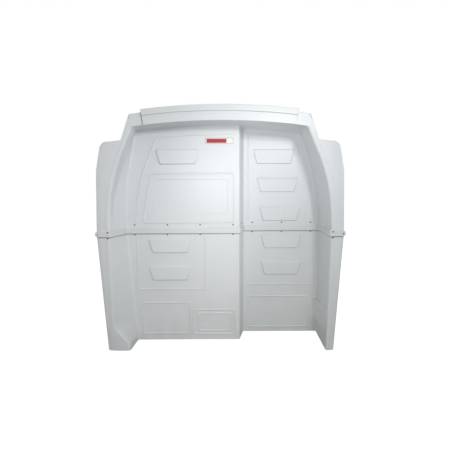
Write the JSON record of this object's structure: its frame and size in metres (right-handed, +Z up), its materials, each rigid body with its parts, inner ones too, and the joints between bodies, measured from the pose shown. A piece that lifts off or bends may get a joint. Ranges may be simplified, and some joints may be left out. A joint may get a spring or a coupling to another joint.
{
  "type": "van cab partition",
  "caption": "Moulded two-shell partition that closes off a compact van's cab, with a shallow and a deep recess, side wings, joint band and arched header.",
  "frame": {"origin": "middle of the footprint, on the floor", "axes": "+X to the right as seen from the cab, +Y from the cab to the load space, +Z up"},
  "size_m": [1.5, 0.356, 1.484],
  "materials": {
    "shell_plastic": "bluish-white moulded plastic, semi-gloss with a faint orange peel",
    "trim_plastic": "white moulded plastic, semi-gloss",
    "screw_steel": "dark zinc-plated steel",
    "splice_steel": "galvanised flat bar",
    "seal_foam": "closed-cell foam rubber",
    "label": "blank printed label with a plain red field"
  },
  "bodies": {
    "root": {"upper_shell": "shell_plastic", "lower_shell": "shell_plastic", "header_trim": "trim_plastic", "header_screws": "screw_steel", "joint_band_left": "trim_plastic", "joint_band_right": "trim_plastic", "band_screws": "screw_steel", "splice_bar_left": "splice_steel", "splice_bar_right": "splice_steel", "splice_plate_step": "splice_steel", "splice_plate_left_wing": "splice_steel", "splice_plate_right_wing": "splice_steel", "upper_row_screws": "screw_steel", "lower_row_screws": "screw_steel", "step_screw": "screw_steel", "upper_row_nuts": "screw_steel", "lower_row_nuts": "screw_steel", "band_nuts": "screw_steel", "step_nut": "screw_steel", "label_plate": "label", "roof_seal": "seal_foam", "upper_left_seal": "seal_foam", "upper_right_seal": "seal_foam", "lower_left_seal": "seal_foam", "lower_right_seal": "seal_foam"}
  },
  "joints": []
}
